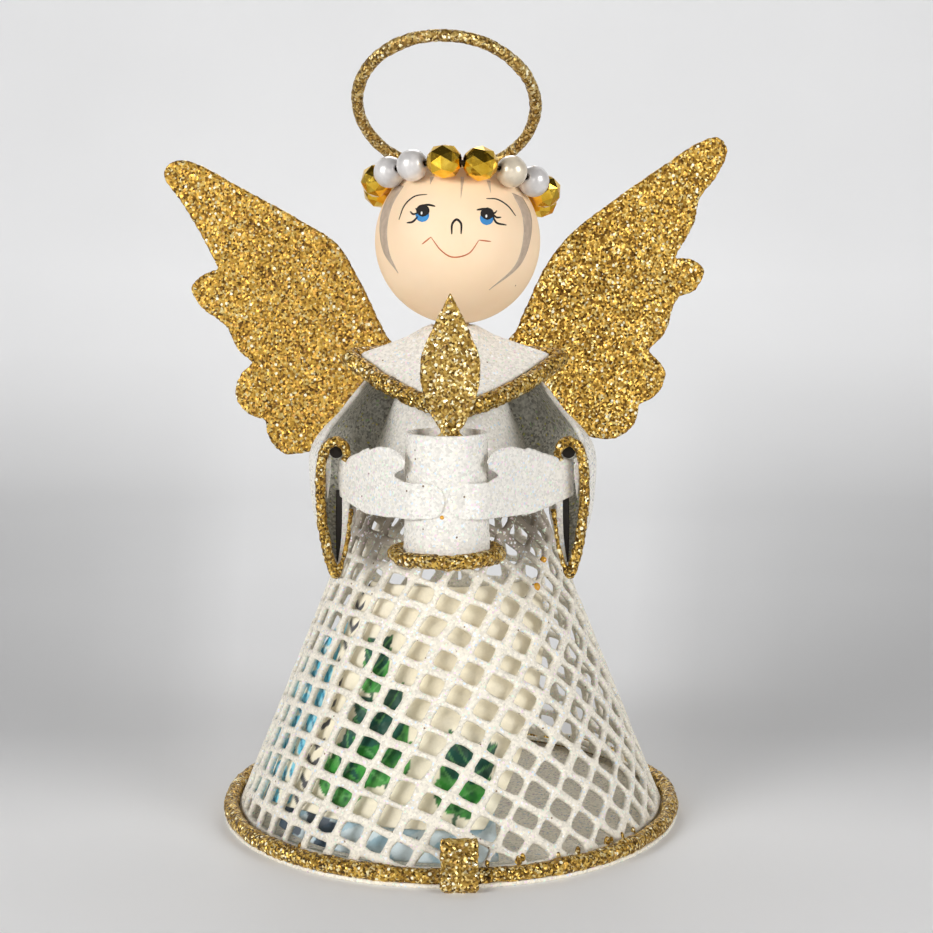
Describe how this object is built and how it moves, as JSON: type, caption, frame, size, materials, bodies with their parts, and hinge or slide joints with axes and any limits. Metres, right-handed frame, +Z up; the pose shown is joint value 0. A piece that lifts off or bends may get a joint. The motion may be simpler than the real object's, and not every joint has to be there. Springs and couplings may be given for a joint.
{
  "type": "angel tree topper",
  "caption": "Small sheet-metal angel with a net cone skirt, drop-open base, candle, wings, halo and a turning wooden ball head with a bead crown.",
  "frame": {"origin": "centre of the base plate's underside, where the angel stands", "axes": "+Z up through the skirt's axis; the angel faces -Y and its right-hand side in the picture is +X"},
  "size_m": [0.0742, 0.0602, 0.095],
  "materials": {
    "white_glitter": "white paint with fine clear glitter",
    "gold_glitter": "coarse gold glitter",
    "gold_trim": "gold glitter glue",
    "net": "white paint with fine clear glitter",
    "paper": "printed paper",
    "painted_wood": "satin paint",
    "bare_wood": "bare",
    "pearl": "pearl lacquer",
    "gold_bead": "metallised facets",
    "wire": "dark"
  },
  "bodies": {
    "figure": {"rear_strap": "white_glitter", "skirt_mesh": "net", "paper_slip": "paper", "bodice": "white_glitter", "neck_peg": "bare_wood", "collar": "white_glitter", "collar_edging": "gold_trim", "sleeve_left": "white_glitter", "sleeve_right": "white_glitter", "cuff_edging_left": "gold_trim", "cuff_edging_right": "gold_trim", "arm_left": "white_glitter", "arm_right": "white_glitter", "candle_tube": "white_glitter", "candle_tray": "white_glitter", "tray_edging": "gold_trim", "flame": "gold_glitter", "wing_left": "gold_glitter", "wing_right": "gold_glitter"},
    "base": {"base_plate": "white_glitter", "base_rim": "gold_trim"},
    "catch": {"catch_tab": "gold_glitter"},
    "head": {"head": "painted_wood", "halo": "gold_glitter", "crown_wire": "wire", "gold_bead_01": "gold_bead", "pearl_02": "pearl", "pearl_03": "pearl", "gold_bead_04": "gold_bead", "gold_bead_05": "gold_bead", "pearl_06": "pearl", "pearl_07": "pearl", "gold_bead_08": "gold_bead", "gold_bead_09": "gold_bead", "pearl_10": "pearl", "pearl_11": "pearl", "gold_bead_12": "gold_bead", "gold_bead_13": "gold_bead", "pearl_14": "pearl", "pearl_15": "pearl", "gold_bead_16": "gold_bead"}
  },
  "joints": [
    {"name": "base_hinge", "type": "hinge", "parent": "figure", "child": "base", "pos_m": [0, 0.0292, 0.00025], "axis": [1, 0, 0], "range_deg": [0, 105]},
    {"name": "catch_fold", "type": "hinge", "parent": "base", "child": "catch", "pos_m": [0.00105, -0.0293, 0.00025], "axis": [1, 0, 0], "range_deg": [0, 70]},
    {"name": "head_turn", "type": "hinge", "parent": "figure", "child": "head", "pos_m": [0, 0, 0.05645], "axis": [0.0628, 0, 0.998], "continuous": true}
  ]
}
